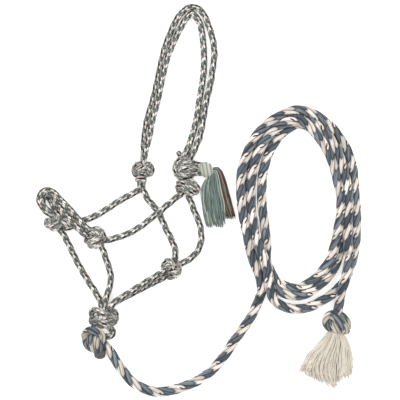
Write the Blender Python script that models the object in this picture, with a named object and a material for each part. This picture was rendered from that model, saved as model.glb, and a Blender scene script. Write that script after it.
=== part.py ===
"""Rope halter with its braided lead rope, laid out on its side on a flat surface.

The halter is tied from one long halter rope: a doubled crown, two cheek knots, the sheet-bend tie with its
tasselled tail, cheek, throat, jaw and chin stretches, a three-rope noseband between the two nose knots, and
the chin knot, whose small loop holds the lead rope. The lead runs from its knot to a loose oval coil and
ends in a stopper knot with a tassel.

Metres, +Z up. The surface it lies on is z = 0, +Y points to the crown and +X to the tie side.
"""

import math

import bmesh
import bpy
from mathutils import Matrix, Vector

# ---------------------------------------------------------------- driving dimensions

ROPE = 0.011  # diameter of the halter rope
LEAD = 0.0165  # diameter of the lead rope
KNOT_HEIGHT = 0.034  # how high a tied halter knot stands before it is pressed flat underneath
PRESSED = 0.003  # how much of that its flat underside takes
TUBE_SIDES_LEVEL = 2  # bevel resolution of every rope, which gives eight sides
KNOT_VOXEL = 0.0042  # grain of the knots' surface
COIL_POINTS = 48  # stations round the coil
COIL_MIDDLE = Vector((0.2935, -0.0685, 0))
COIL_OUTER = (0.1135, 0.1880)  # half width and half length of the coil's outer edge
COIL_INNER = (0.0590, 0.1400)
COIL_HIGH = 0.0250
TASSEL_SIDES = 12
WHIPPING_SIDES = 16
WHIPPING_HALF = (0.0125, 0.0076)  # half width and half height of the whipping round the two tails
WHIPPING_ENDS = (0.1190, 0.1390)  # where the whipping starts and ends, along X

# Hinge lines, each at the height where the moving piece clears what it hangs on.
CROWN_HINGE = Vector((0.060, 0.028, 0.027))
NOSE_HINGE = Vector((-0.121, -0.099, 0.032))
TIE_TAIL_HINGE = Vector((0.1185, -0.002, 0.018))
LEAD_HINGE = Vector((-0.046, -0.322, 0.0085))
LEAD_END_HINGE = Vector((0.364, -0.2555, 0.017))

# ---------------------------------------------------------------- routes of the ropes

CROWN_OUTER = [
    (0.016, 0.020, 0.0100), (0.016, 0.037, 0.0080), (0.017, 0.059, 0.0060),
    (0.022, 0.091, 0.0060), (0.032, 0.125, 0.0060), (0.041, 0.163, 0.0060),
    (0.048, 0.197, 0.0060), (0.055, 0.224, 0.0060), (0.064, 0.247, 0.0060),
    (0.074, 0.269, 0.0060), (0.086, 0.285, 0.0060), (0.100, 0.293, 0.0060),
    (0.113, 0.291, 0.0060), (0.124, 0.280, 0.0060), (0.133, 0.258, 0.0060),
    (0.140, 0.235, 0.0060), (0.143, 0.210, 0.0060), (0.140, 0.183, 0.0060),
    (0.136, 0.156, 0.0060), (0.129, 0.127, 0.0060), (0.123, 0.093, 0.0060),
    (0.117, 0.062, 0.0080), (0.108, 0.039, 0.0130),
]
CROWN_INNER = [
    (0.017, 0.019, 0.0215), (0.020, 0.037, 0.0185), (0.026, 0.059, 0.0145),
    (0.032, 0.091, 0.0130), (0.041, 0.125, 0.0135), (0.049, 0.163, 0.0135),
    (0.057, 0.197, 0.0130), (0.067, 0.224, 0.0100), (0.077, 0.246, 0.0080),
    (0.088, 0.266, 0.0070), (0.097, 0.278, 0.0090), (0.103, 0.281, 0.0090),
    (0.111, 0.274, 0.0070), (0.118, 0.260, 0.0060), (0.122, 0.235, 0.0060),
    (0.124, 0.210, 0.0060), (0.124, 0.183, 0.0060), (0.121, 0.156, 0.0060),
    (0.116, 0.127, 0.0060), (0.111, 0.093, 0.0060), (0.103, 0.062, 0.0080),
    (0.095, 0.039, 0.0130),
]
OFF_SIDE_CHEEK = [
    (0.008, -0.034, 0.0080), (-0.007, -0.043, 0.0060), (-0.027, -0.054, 0.0060),
    (-0.050, -0.069, 0.0060), (-0.072, -0.082, 0.0060), (-0.090, -0.089, 0.0060),
    (-0.104, -0.096, 0.0060), (-0.119, -0.102, 0.0060), (-0.132, -0.101, 0.0080),
]
NEAR_SIDE_CHEEK = [
    (0.0805, -0.044, 0.0090), (0.067, -0.055, 0.0120), (0.055, -0.065, 0.0165),
    (0.045, -0.074, 0.0182), (0.034, -0.082, 0.0160), (0.022, -0.092, 0.0115),
    (0.005, -0.104, 0.0070), (-0.013, -0.114, 0.0060), (-0.031, -0.120, 0.0060),
    (-0.047, -0.1245, 0.0085),
]
OFF_SIDE_THROAT = [
    (0.015, -0.034, 0.0080), (0.023, -0.051, 0.0060), (0.034, -0.064, 0.0060),
    (0.043, -0.075, 0.0060), (0.049, -0.089, 0.0060), (0.056, -0.105, 0.0060),
    (0.065, -0.122, 0.0060), (0.072, -0.140, 0.0060), (0.073, -0.152, 0.0080),
]
NEAR_SIDE_THROAT = [
    (0.096, -0.044, 0.0090), (0.102, -0.060, 0.0060), (0.108, -0.076, 0.0060),
    (0.115, -0.092, 0.0060), (0.119, -0.111, 0.0060), (0.119, -0.127, 0.0060),
    (0.113, -0.144, 0.0060), (0.101, -0.157, 0.0060), (0.086, -0.166, 0.0090),
]
OFF_SIDE_CHIN = [
    (-0.132, -0.111, 0.0080), (-0.122, -0.127, 0.0060), (-0.113, -0.144, 0.0060),
    (-0.104, -0.163, 0.0060), (-0.094, -0.181, 0.0060), (-0.083, -0.199, 0.0060),
    (-0.072, -0.216, 0.0060), (-0.064, -0.230, 0.0070), (-0.060, -0.238, 0.0090),
]
NEAR_SIDE_CHIN = [
    (-0.057, -0.142, 0.0090), (-0.051, -0.161, 0.0060), (-0.045, -0.179, 0.0060),
    (-0.043, -0.197, 0.0060), (-0.047, -0.215, 0.0080), (-0.051, -0.229, 0.0140),
    (-0.052, -0.238, 0.0190),
]
JAW_LOWER = [
    (0.051, -0.192, 0.0100), (0.036, -0.200, 0.0060), (0.014, -0.211, 0.0060),
    (-0.009, -0.223, 0.0060), (-0.029, -0.233, 0.0070), (-0.040, -0.241, 0.0090),
]
JAW_UPPER = [
    (0.046, -0.184, 0.0180), (0.032, -0.193, 0.0155), (0.013, -0.204, 0.0155),
    (-0.007, -0.217, 0.0160), (-0.026, -0.229, 0.0180), (-0.038, -0.238, 0.0210),
]
NOSEBAND_UPPER = [
    (-0.149, -0.082, 0.0290), (-0.156, -0.075, 0.0300), (-0.165, -0.062, 0.0300),
    (-0.169, -0.049, 0.0300), (-0.166, -0.036, 0.0295), (-0.157, -0.030, 0.0275),
    (-0.145, -0.035, 0.0250), (-0.135, -0.047, 0.0225), (-0.122, -0.062, 0.0220),
    (-0.110, -0.075, 0.0235), (-0.098, -0.0875, 0.0248), (-0.087, -0.099, 0.0240),
]
NOSEBAND_MIDDLE = [
    (-0.149, -0.083, 0.0174), (-0.156, -0.076, 0.0182), (-0.164, -0.063, 0.0184),
    (-0.167, -0.050, 0.0184), (-0.163, -0.040, 0.0178), (-0.155, -0.038, 0.0160),
    (-0.148, -0.044, 0.0150), (-0.139, -0.055, 0.0145), (-0.130, -0.068, 0.0165),
    (-0.121, -0.080, 0.0215), (-0.108, -0.092, 0.0290), (-0.096, -0.105, 0.0290),
]
NOSEBAND_LOWER = [
    (-0.148, -0.084, 0.0060), (-0.155, -0.076, 0.0060), (-0.163, -0.065, 0.0060),
    (-0.165, -0.052, 0.0060), (-0.162, -0.045, 0.0060), (-0.157, -0.046, 0.0060),
    (-0.151, -0.053, 0.0060), (-0.145, -0.063, 0.0060), (-0.135, -0.075, 0.0060),
    (-0.124, -0.084, 0.0090), (-0.112, -0.091, 0.0155), (-0.101, -0.097, 0.0175),
    (-0.092, -0.105, 0.0160),
]
TIE_SLIP_LOOP = [(0.0745, 0.0330, 0.0080), (0.0765, 0.0295, 0.0090)]
TIE_TAIL_UPPER = [(0.1115, 0.0085, 0.0078), (0.1180, 0.0085, 0.0078)]
TIE_TAIL_LOWER = [(0.1115, -0.0045, 0.0078), (0.1180, -0.0045, 0.0078)]
# Cross-sections along each tassel: x, y, half width, half height.
TIE_TASSEL = [
    (0.1485, -0.0020, 0.0060, 0.0060), (0.1500, -0.0125, 0.0085, 0.0070), (0.1430, -0.0190, 0.0185, 0.0070),
    (0.1425, -0.0260, 0.0205, 0.0070),
    (0.1440, -0.0370, 0.0230, 0.0068), (0.1470, -0.0530, 0.0255, 0.0064), (0.1500, -0.0690, 0.0260, 0.0060),
    (0.1500, -0.0800, 0.0240, 0.0056), (0.1420, -0.0930, 0.0130, 0.0050), (0.1400, -0.1020, 0.0060, 0.0040),
]
CHIN_LOOP = [
    (-0.044, -0.283, 0.0090), (-0.039, -0.288, 0.0070), (-0.041, -0.295, 0.0060),
    (-0.049, -0.298, 0.0060), (-0.061, -0.297, 0.0060), (-0.071, -0.291, 0.0060),
    (-0.073, -0.283, 0.0100),
]
CHIN_LOOP_REST = (-0.073, -0.272, 0.0150)  # where the loop goes on into the chin knot
LEAD_STANDING = [
    (-0.046, -0.322, 0.0090), (-0.040, -0.331, 0.0085), (-0.031, -0.345, 0.0085),
    (-0.0195, -0.3617, 0.0085), (-0.0050, -0.3780, 0.0085), (0.0172, -0.3915, 0.0085),
    (0.0448, -0.3970, 0.0085), (0.0720, -0.3924, 0.0085), (0.0995, -0.3830, 0.0085),
    (0.1255, -0.3690, 0.0085), (0.1470, -0.3490, 0.0085), (0.1645, -0.3268, 0.0085),
    (0.1798, -0.3030, 0.0085), (0.1962, -0.2810, 0.0085), (0.2105, -0.2582, 0.0085),
    (0.2193, -0.2398, 0.0085),
]
LEAD_TAIL = [
    (0.368, -0.2270, 0.0085), (0.366, -0.2380, 0.0085), (0.364, -0.2530, 0.0085),
]
LEAD_TASSEL = [
    (0.3560, -0.2985, 0.0200, 0.0090), (0.3500, -0.3120, 0.0270, 0.0095), (0.3490, -0.3260, 0.0340, 0.0090),
    (0.3480, -0.3420, 0.0390, 0.0080), (0.3440, -0.3600, 0.0430, 0.0068), (0.3520, -0.3770, 0.0330, 0.0060),
    (0.3550, -0.3920, 0.0130, 0.0050), (0.3560, -0.4030, 0.0050, 0.0035),
]

# ---------------------------------------------------------------- helpers


def clear_scene():
    for obj in list(bpy.data.objects):
        bpy.data.objects.remove(obj)


def material(name, colour, roughness):
    made = bpy.data.materials.new(name)
    made.use_nodes = True
    shader = made.node_tree.nodes["Principled BSDF"]
    shader.inputs["Base Color"].default_value = (*colour, 1.0)
    shader.inputs["Roughness"].default_value = roughness
    shader.inputs["Metallic"].default_value = 0.0
    return made


def hinge(name, place):
    """An empty on a joint's axis, which its moving pieces are parented to."""
    empty = bpy.data.objects.new(name, None)
    bpy.context.scene.collection.objects.link(empty)
    empty.location = place
    empty.empty_display_size = 0.02
    return empty


def add_object(name, data, finish, parent):
    obj = bpy.data.objects.new(name, data)
    bpy.context.scene.collection.objects.link(obj)
    data.materials.append(finish)
    if parent:
        obj.parent = parent
        obj.matrix_parent_inverse = Matrix.Translation(parent.location).inverted()
    return obj


def between(a, b, c, d, t):
    """The Catmull-Rom point between b and c."""
    return 0.5 * (2 * b + (c - a) * t + (2 * a - 5 * b + 4 * c - d) * t**2 + (3 * b - a - 3 * c + d) * t**3)


def smooth_line(route, step):
    """Points about one step apart on the smooth curve through a route's points."""
    points = [Vector(p) for p in route]
    points = [2 * points[0] - points[1], *points, 2 * points[-1] - points[-2]]
    fine = []
    for a, b, c, d in zip(points, points[1:], points[2:], points[3:]):
        fine += [between(a, b, c, d, i / 8) for i in range(8)]
    fine.append(points[-2])
    along = [0.0]
    for p, q in zip(fine, fine[1:]):
        along.append(along[-1] + (q - p).length)
    count = max(2, round(along[-1] / step))
    line, at = [], 0
    for i in range(count + 1):
        want = along[-1] * i / count
        while at < len(fine) - 2 and along[at + 1] < want:
            at += 1
        share = (want - along[at]) / max(along[at + 1] - along[at], 1e-9)
        line.append(fine[at].lerp(fine[at + 1], min(share, 1.0)))
    return line


def rope(name, route, diameter, finish, parent=None, step=2.2, round_start=False):
    """A plain round rope along a route, with a point every few diameters and both ends filled."""
    line = [(p, 1.0) for p in smooth_line(route, step * diameter)]
    if round_start:
        start, ahead = line[0][0], (line[1][0] - line[0][0]).normalized()
        nose = []
        for angle in (20, 45, 70):
            back = 0.5 * diameter * math.cos(math.radians(angle))
            nose.append((start - ahead * back, math.sin(math.radians(angle))))
        line = nose + line
    curve = bpy.data.curves.new(name, "CURVE")
    curve.dimensions = "3D"
    curve.bevel_depth = diameter / 2
    curve.bevel_resolution = TUBE_SIDES_LEVEL
    curve.use_fill_caps = True
    spline = curve.splines.new("POLY")
    spline.points.add(len(line) - 1)
    for point, (place, share) in zip(spline.points, line):
        point.co = (*place, 1.0)
        point.radius = share
    spline.use_smooth = True
    return add_object(name, curve, finish, parent)


def ring_of(shape, centre, normal, ring_radius, tube_radius, flatten):
    """Adds one wrap of rope, a torus about normal, to a knot's mesh. flatten scales its height."""
    turn = Vector((0, 0, 1)).rotation_difference(normal).to_matrix()
    around, across = 20, 8
    rows = []
    for i in range(around):
        angle = 2 * math.pi * i / around
        out = Vector((math.cos(angle), math.sin(angle), 0))
        row = []
        for j in range(across):
            bend = 2 * math.pi * j / across
            p = out * (ring_radius + tube_radius * math.cos(bend))
            p += Vector((0, 0, tube_radius * math.sin(bend)))
            p = turn @ p
            p.z *= flatten
            row.append(shape.verts.new(centre + p))
        rows.append(row)
    for i in range(around):
        for j in range(across):
            a, b = rows[i], rows[(i + 1) % around]
            shape.faces.new((a[j], b[j], b[(j + 1) % across], a[(j + 1) % across]))


def ball_of(shape, centre, half_sizes, turn):
    """Adds an ellipsoid to a knot's mesh, turned about +Z."""
    placed = Matrix.Translation(centre) @ Matrix.Rotation(turn, 4, "Z") @ Matrix.Diagonal((*half_sizes, 1.0))
    bmesh.ops.create_uvsphere(shape, u_segments=16, v_segments=10, radius=1.0, matrix=placed)


def knot(name, centre, half_length, half_width, finish, turn=0.0, wraps=3, thick=ROPE, high=KNOT_HEIGHT,
         more=(), parent=None, groove=None):
    """A tied knot: wraps of rope side by side along its long axis, drawn tight round a solid core.

    turn is its long axis's angle from +X in degrees. more holds extra (centre, half sizes, turn) lumps. The
    knot lies flat on the surface under it, and a groove cutter, if given, leaves its own rope room.
    """
    heading = math.radians(turn)
    along = Vector((math.cos(heading), math.sin(heading), 0))
    middle = Vector((centre[0], centre[1], high / 2 - PRESSED))
    shape = bmesh.new()
    ball_of(shape, middle, (half_length * 0.9, half_width * 0.86, high * 0.44), heading)
    tube = thick / 2
    reach = half_length - tube
    for i in range(wraps):
        place = reach * (2 * i / (wraps - 1) - 1) if wraps > 1 else 0.0
        lean = 0.28 * (1 if i % 2 else -1)
        normal = Matrix.Rotation(lean, 3, "Z") @ along
        shrink = 1.0 - 0.16 * abs(place / max(reach, 1e-6))
        ring = half_width * shrink - tube
        ring_of(shape, middle + along * place, normal, ring, tube, (high / 2 - tube) / (half_width - tube))
    for place, sizes, angle in more:
        ball_of(shape, Vector(place), sizes, math.radians(angle))
    mesh = bpy.data.meshes.new(name)
    shape.to_mesh(mesh)
    shape.free()
    obj = add_object(name, mesh, finish, parent)
    skin = obj.modifiers.new("drawn_tight", "REMESH")
    skin.mode = "VOXEL"
    skin.voxel_size = KNOT_VOXEL
    skin.use_smooth_shade = True
    cut(obj, "flat_underside", GROUND)
    if groove:
        cut(obj, "room_for_loop", groove)
    return obj


def cut(obj, name, tool):
    boolean = obj.modifiers.new(name, "BOOLEAN")
    boolean.operation = "DIFFERENCE"
    boolean.object = tool


def ground_cutter():
    """A slab whose top is the surface everything lies on."""
    shape = bmesh.new()
    slab = Matrix.Translation((0.1, -0.05, -0.02)) @ Matrix.Diagonal((1.2, 1.2, 0.04, 1.0))
    bmesh.ops.create_cube(shape, size=1.0, matrix=slab)
    return cutter("ground_cutter", shape)


def cutter(name, shape):
    mesh = bpy.data.meshes.new(name)
    bmesh.ops.recalc_face_normals(shape, faces=shape.faces)
    shape.to_mesh(mesh)
    shape.free()
    obj = bpy.data.objects.new(name, mesh)
    bpy.context.scene.collection.objects.link(obj)
    obj.hide_render = True
    obj.display_type = "WIRE"
    return obj


def groove_cutter(name, route, diameter):
    """A fat tube along a route, as a mesh, to cut a rope's room out of a knot."""
    line = smooth_line(route, 0.5 * diameter)
    shape = bmesh.new()
    sides = 12
    rows = []
    for i, p in enumerate(line):
        ahead = (line[min(i + 1, len(line) - 1)] - line[max(i - 1, 0)]).normalized()
        side = ahead.cross(Vector((0, 0, 1))).normalized()
        up = side.cross(ahead)
        ring = [2 * math.pi * j / sides for j in range(sides)]
        spokes = [side * math.cos(a) + up * math.sin(a) for a in ring]
        rows.append([shape.verts.new(p + diameter / 2 * spoke) for spoke in spokes])
    for a, b in zip(rows, rows[1:]):
        for j in range(sides):
            k = (j + 1) % sides
            shape.faces.new((a[j], a[k], b[k], b[j]))
    shape.faces.new(rows[0])
    shape.faces.new(rows[-1][::-1])
    return cutter(name, shape)


def bundle(name, stations, finish, parent):
    """A closed bundle of threads. Each station is (x, y, half width, half height) of one cross-section."""
    shape = bmesh.new()
    rows = []
    for x, y, half_width, half_height in stations:
        ring = [2 * math.pi * (j + 0.5) / TASSEL_SIDES for j in range(TASSEL_SIDES)]
        low = half_height * math.cos(math.pi / TASSEL_SIDES)
        rows.append([
            shape.verts.new((x + half_width * math.cos(a), y, low + half_height * math.sin(a))) for a in ring
        ])
    for a, b in zip(rows, rows[1:]):
        for j in range(TASSEL_SIDES):
            k = (j + 1) % TASSEL_SIDES
            shape.faces.new((a[j], a[k], b[k], b[j]))
    shape.faces.new(rows[0])
    shape.faces.new(rows[-1][::-1])
    bmesh.ops.recalc_face_normals(shape, faces=shape.faces)
    mesh = bpy.data.meshes.new(name)
    shape.to_mesh(mesh)
    shape.free()
    mesh.shade_smooth()
    return add_object(name, mesh, finish, parent)


# ---------------------------------------------------------------- sub-parts


def crown(finish):
    """The doubled rope over the poll, which lifts about the line through both cheek knots."""
    axis = hinge("crown_hinge", CROWN_HINGE)
    rope("crown_outer_strand", CROWN_OUTER, ROPE, finish, axis, step=1.3)
    rope("crown_inner_strand", CROWN_INNER, ROPE, finish, axis, step=1.3)


def cheek_knots(finish):
    neck = ((0.0115, -0.0180, 0.0100), (0.0085, 0.0125, 0.0095), 5.0)
    knot("off_side_cheek_knot", (0.0155, 0.0020), 0.0205, 0.0135, finish, more=[neck])
    knot("near_side_cheek_knot", (0.0945, -0.0315), 0.0205, 0.0122, finish, turn=-4.0)


def tie(finish, threads):
    """The sheet bend that closes the crown, its ear loop, and the whipped tail with its tassel."""
    knot("tie_knot", (0.0900, 0.0070), 0.0220, 0.0205, finish, turn=78.0)
    rope("tie_slip_loop", TIE_SLIP_LOOP, ROPE * 0.9, finish, step=0.4, round_start=True)
    rope("tie_tail_upper", TIE_TAIL_UPPER, ROPE, finish, step=0.4)
    rope("tie_tail_lower", TIE_TAIL_LOWER, ROPE, finish, step=0.4)
    axis = hinge("tie_tail_hinge", TIE_TAIL_HINGE)
    whipping("tie_tail_whipping", finish, axis)
    bundle("tie_tassel", TIE_TASSEL, threads, axis)


def whipping(name, finish, parent):
    """A flat-oval band of thread round both tails."""
    start, end = WHIPPING_ENDS
    half_width, half_height = WHIPPING_HALF
    shape = bmesh.new()
    rows = []
    for x, swell in ((start, 1.0), ((start + end) / 2, 1.04), (end, 1.0)):
        ring = [2 * math.pi * (j + 0.5) / WHIPPING_SIDES for j in range(WHIPPING_SIDES)]
        row = []
        for a in ring:
            y = 0.0010 + half_width * swell * math.cos(a)
            row.append(shape.verts.new((x, y, 0.0082 + half_height * math.sin(a))))
        rows.append(row)
    for a, b in zip(rows, rows[1:]):
        for j in range(WHIPPING_SIDES):
            k = (j + 1) % WHIPPING_SIDES
            shape.faces.new((a[j], a[k], b[k], b[j]))
    shape.faces.new(rows[0])
    shape.faces.new(rows[-1][::-1])
    bmesh.ops.recalc_face_normals(shape, faces=shape.faces)
    mesh = bpy.data.meshes.new(name)
    shape.to_mesh(mesh)
    shape.free()
    mesh.shade_smooth()
    return add_object(name, mesh, finish, parent)


def cheeks_and_throat(finish):
    rope("off_side_cheek_rope", OFF_SIDE_CHEEK, ROPE, finish)
    rope("near_side_cheek_rope", NEAR_SIDE_CHEEK, ROPE, finish)
    rope("off_side_throat_rope", OFF_SIDE_THROAT, ROPE, finish)
    rope("near_side_throat_rope", NEAR_SIDE_THROAT, ROPE, finish)
    knot("throat_knot", (0.0650, -0.1755), 0.0185, 0.0165, finish, turn=60.0)


def noseband(finish):
    """Both nose knots, and the three ropes of the band, which swings about the line through them."""
    knot("off_side_nose_knot", (-0.1490, -0.1010), 0.0150, 0.0135, finish, turn=-35.0, wraps=2)
    knot("near_side_nose_knot", (-0.0715, -0.1215), 0.0190, 0.0165, finish, turn=-30.0)
    axis = hinge("noseband_hinge", NOSE_HINGE)
    rope("noseband_upper_rope", NOSEBAND_UPPER, ROPE, finish, axis, step=1.1)
    rope("noseband_middle_rope", NOSEBAND_MIDDLE, ROPE, finish, axis, step=1.1)
    rope("noseband_lower_rope", NOSEBAND_LOWER, ROPE, finish, axis, step=0.9)


def chin(finish):
    rope("off_side_chin_rope", OFF_SIDE_CHIN, ROPE, finish)
    rope("near_side_chin_rope", NEAR_SIDE_CHIN, ROPE, finish)
    rope("jaw_rope_lower", JAW_LOWER, ROPE, finish)
    rope("jaw_rope_upper", JAW_UPPER, ROPE, finish)
    knot("chin_knot", (-0.0555, -0.2615), 0.0255, 0.0195, finish, wraps=3, high=0.034)
    rope("chin_loop", CHIN_LOOP, ROPE, finish, step=0.9)


def lead(finish, threads, dark):
    """The lead rope: its knot on the chin loop, the standing part, the coil, the tail and its stopper."""
    room = groove_cutter("chin_loop_room", [*CHIN_LOOP, CHIN_LOOP_REST], ROPE + 0.0034)
    knot(
        "lead_knot", (-0.0730, -0.3035), 0.0225, 0.0210, finish, turn=75.0, thick=LEAD, high=0.036,
        groove=room,
    )
    rope("lead_cut_end", [(-0.0630, -0.3330, 0.0120), (-0.0625, -0.3375, 0.0140)], 0.0190, dark, step=0.25)
    axis = hinge("lead_hinge", LEAD_HINGE)
    rope("lead_standing_part", LEAD_STANDING, LEAD, finish, axis, round_start=True)
    coil("lead_coil", finish, axis)
    rope("lead_tail", LEAD_TAIL, LEAD, finish, axis, step=1.1)
    end = hinge("lead_end_hinge", LEAD_END_HINGE)
    knot("lead_stopper_knot", (0.3600, -0.2760), 0.0240, 0.0195, finish, thick=LEAD, high=0.034, parent=end)
    bundle("lead_tassel", LEAD_TASSEL, threads, end)


def coil(name, finish, parent):
    """The outer shape of the loosely wound lead: an oval ring three ropes wide and one and a half high."""
    # Across the ring: how far out (0 at the inner edge, 1 at the outer), and how high.
    section = (
        (0.04, 0.0), (0.96, 0.0), (1.0, 0.30), (0.97, 0.75),
        (0.86, 1.0), (0.14, 1.0), (0.03, 0.75), (0.0, 0.30),
    )
    shape = bmesh.new()
    rows = []
    for i in range(COIL_POINTS):
        angle = 2 * math.pi * i / COIL_POINTS
        row = []
        for out, up in section:
            wide = COIL_INNER[0] + (COIL_OUTER[0] - COIL_INNER[0]) * out
            tall = COIL_INNER[1] + (COIL_OUTER[1] - COIL_INNER[1]) * out
            place = Vector((wide * math.cos(angle), tall * math.sin(angle), up * COIL_HIGH))
            row.append(shape.verts.new(COIL_MIDDLE + place))
        rows.append(row)
    for a, b in zip(rows, rows[1:] + rows[:1]):
        for j in range(len(section)):
            k = (j + 1) % len(section)
            shape.faces.new((a[j], b[j], b[k], a[k]))
    bmesh.ops.recalc_face_normals(shape, faces=shape.faces)
    mesh = bpy.data.meshes.new(name)
    shape.to_mesh(mesh)
    shape.free()
    mesh.shade_smooth()
    return add_object(name, mesh, finish, parent)


clear_scene()
GROUND = ground_cutter()
SAGE_ROPE = material("sage_and_cream_rope", (0.42, 0.46, 0.41), 0.85)
BLUE_ROPE = material("blue_and_cream_rope", (0.38, 0.41, 0.43), 0.85)
SAGE_THREADS = material("sage_threads", (0.33, 0.42, 0.38), 0.9)
CREAM_THREADS = material("cream_threads", (0.80, 0.75, 0.66), 0.9)
SEALED_END = material("sealed_rope_end", (0.10, 0.10, 0.11), 0.6)
crown(SAGE_ROPE)
cheek_knots(SAGE_ROPE)
tie(SAGE_ROPE, SAGE_THREADS)
cheeks_and_throat(SAGE_ROPE)
noseband(SAGE_ROPE)
chin(SAGE_ROPE)
lead(BLUE_ROPE, CREAM_THREADS, SEALED_END)
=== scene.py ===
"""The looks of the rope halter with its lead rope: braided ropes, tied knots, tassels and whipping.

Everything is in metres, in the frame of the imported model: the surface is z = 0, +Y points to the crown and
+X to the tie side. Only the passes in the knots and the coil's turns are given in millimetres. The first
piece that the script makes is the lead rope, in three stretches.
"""

import math
from types import SimpleNamespace

import bpy
import numpy as np
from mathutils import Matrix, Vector


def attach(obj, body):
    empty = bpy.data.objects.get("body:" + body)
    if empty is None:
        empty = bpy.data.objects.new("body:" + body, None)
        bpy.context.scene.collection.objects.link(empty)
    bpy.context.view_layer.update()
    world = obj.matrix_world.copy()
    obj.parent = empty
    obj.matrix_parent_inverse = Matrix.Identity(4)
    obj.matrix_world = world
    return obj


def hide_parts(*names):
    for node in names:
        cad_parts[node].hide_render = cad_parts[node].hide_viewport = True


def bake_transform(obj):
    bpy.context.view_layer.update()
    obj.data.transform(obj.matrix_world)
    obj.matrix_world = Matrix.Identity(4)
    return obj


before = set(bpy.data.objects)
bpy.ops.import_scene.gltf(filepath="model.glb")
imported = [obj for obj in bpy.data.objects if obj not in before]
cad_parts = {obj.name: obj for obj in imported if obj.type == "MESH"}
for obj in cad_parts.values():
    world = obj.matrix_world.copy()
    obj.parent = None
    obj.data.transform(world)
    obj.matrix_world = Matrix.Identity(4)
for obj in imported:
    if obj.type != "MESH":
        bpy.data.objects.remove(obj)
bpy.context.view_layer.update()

# ------------------------ sizes

MM = 0.001
ROPE_OUTSIDE = 0.0121  # over the crests of the 11 mm halter rope's stitches
KNOT_ROPE = 0.0112  # the halter rope drawn tight in a knot
SLIP_LOOP_ROPE = 0.0100  # the same rope in the tie's small loop
LEAD_OUTSIDE = 0.0180  # over the loose yarn that stands proud of it
KNOT_LEAD = 0.0160  # the lead rope drawn tight in a knot
SEALED_END = 0.0205  # the lead's melted end, which has spread
ROPE_LAY = 0.022  # length in which the halter rope's pattern goes once round
LEAD_LAY = 0.040

SIDES = 60  # points in a ring round a rope
CURVE_STEPS = 24  # points on the curve from one point of a route to the next
ROPE_SPACING = 0.0012  # from ring to ring
KNOT_SPACING = 0.0013
LEAD_SPACING = 0.0020
SEALED_SPACING = 0.0010
TUCKED_ENDS = (0.55, 0.55)  # how much of its width a pass keeps at its ends, where it goes under others
CORE_ENDS = (0.3, 0.3)
SEALED_ENDS = (0.9, 0.72)
END_LENGTH = 0.35  # length in which an end narrows, in diameters
CREVICE_WIDTH = 0.30  # gap at which one pass no longer paints shade on another, in rope radii
CREVICE_RINGS = 8  # rings that are compared with the other passes at a time
NEARBY = 4  # how far off another pass may be to be compared, in rope radii
OWN_STRETCH = 5  # length of its own rope that a ring isn't compared with, in rope radii
YARN_ENDS = (0.6, 0.45)  # how much of its width a loose yarn keeps at its root and at its tip
YARN_TWIST = 0.01  # length of loose yarn in one unit of its v

# How each braid's stitches lie: columns round the rope, stitches in one lay, how much the columns wind, how
# pointed a stitch's end is, how far neighbouring columns lean apart, and how deep the relief is.
HALTER_BRAID = {"columns": 10, "per_lay": 3, "wind": 0.0, "point": 0.30, "lean": 0.34, "relief": 0.16}
LEAD_BRAID = {"columns": 6, "per_lay": 2, "wind": -0.32, "point": 0.34, "lean": 0.0, "relief": 0.14}
HALTER_YARNS, LEAD_YARNS = 2, 4  # yarns side by side in one stitch
HALTER_BUMP, LEAD_BUMP = 0.0006, 0.0009  # depth of the grooves between them

# ------------------------ routes of the ropes, in metres

CROWN_OUTER = [
    (0.014, 0.000, 0.012), (0.015, 0.01, 0.011),
    (0.016, 0.02, 0.01), (0.016, 0.037, 0.008), (0.017, 0.059, 0.006),
    (0.022, 0.091, 0.006), (0.032, 0.125, 0.006), (0.041, 0.163, 0.006),
    (0.048, 0.197, 0.006), (0.055, 0.224, 0.006), (0.064, 0.247, 0.006),
    (0.074, 0.269, 0.006), (0.086, 0.285, 0.006), (0.1, 0.293, 0.006),
    (0.113, 0.291, 0.006), (0.124, 0.28, 0.006), (0.133, 0.258, 0.006),
    (0.14, 0.235, 0.006), (0.143, 0.21, 0.006), (0.14, 0.183, 0.006),
    (0.136, 0.156, 0.006), (0.129, 0.127, 0.006), (0.123, 0.093, 0.006),
    (0.117, 0.062, 0.008), (0.108, 0.039, 0.013), (0.102, 0.026, 0.016),
    (0.095, 0.014, 0.016),
]
CROWN_INNER = [
    (0.016, 0.000, 0.02), (0.0165, 0.01, 0.0215),
    (0.017, 0.019, 0.0215), (0.02, 0.037, 0.0185), (0.026, 0.059, 0.0145),
    (0.032, 0.091, 0.013), (0.041, 0.125, 0.0135), (0.049, 0.163, 0.0135),
    (0.057, 0.197, 0.013), (0.067, 0.224, 0.01), (0.077, 0.246, 0.008),
    (0.088, 0.266, 0.007), (0.097, 0.278, 0.009), (0.103, 0.281, 0.009),
    (0.111, 0.274, 0.007), (0.118, 0.26, 0.006), (0.122, 0.235, 0.006),
    (0.124, 0.21, 0.006), (0.124, 0.183, 0.006), (0.121, 0.156, 0.006),
    (0.116, 0.127, 0.006), (0.111, 0.093, 0.006), (0.103, 0.062, 0.008),
    (0.095, 0.039, 0.013), (0.089, 0.026, 0.015), (0.087, 0.014, 0.012),
]
OFF_SIDE_CHEEK = [
    (0.012, -0.008, 0.014), (0.01, -0.021, 0.012),
    (0.008, -0.034, 0.008), (-0.007, -0.043, 0.006), (-0.027, -0.054, 0.006),
    (-0.05, -0.069, 0.006), (-0.072, -0.082, 0.006), (-0.09, -0.089, 0.006),
    (-0.104, -0.096, 0.006), (-0.119, -0.102, 0.006), (-0.132, -0.101, 0.008),
    (-0.144, -0.099, 0.011),
]
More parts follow.
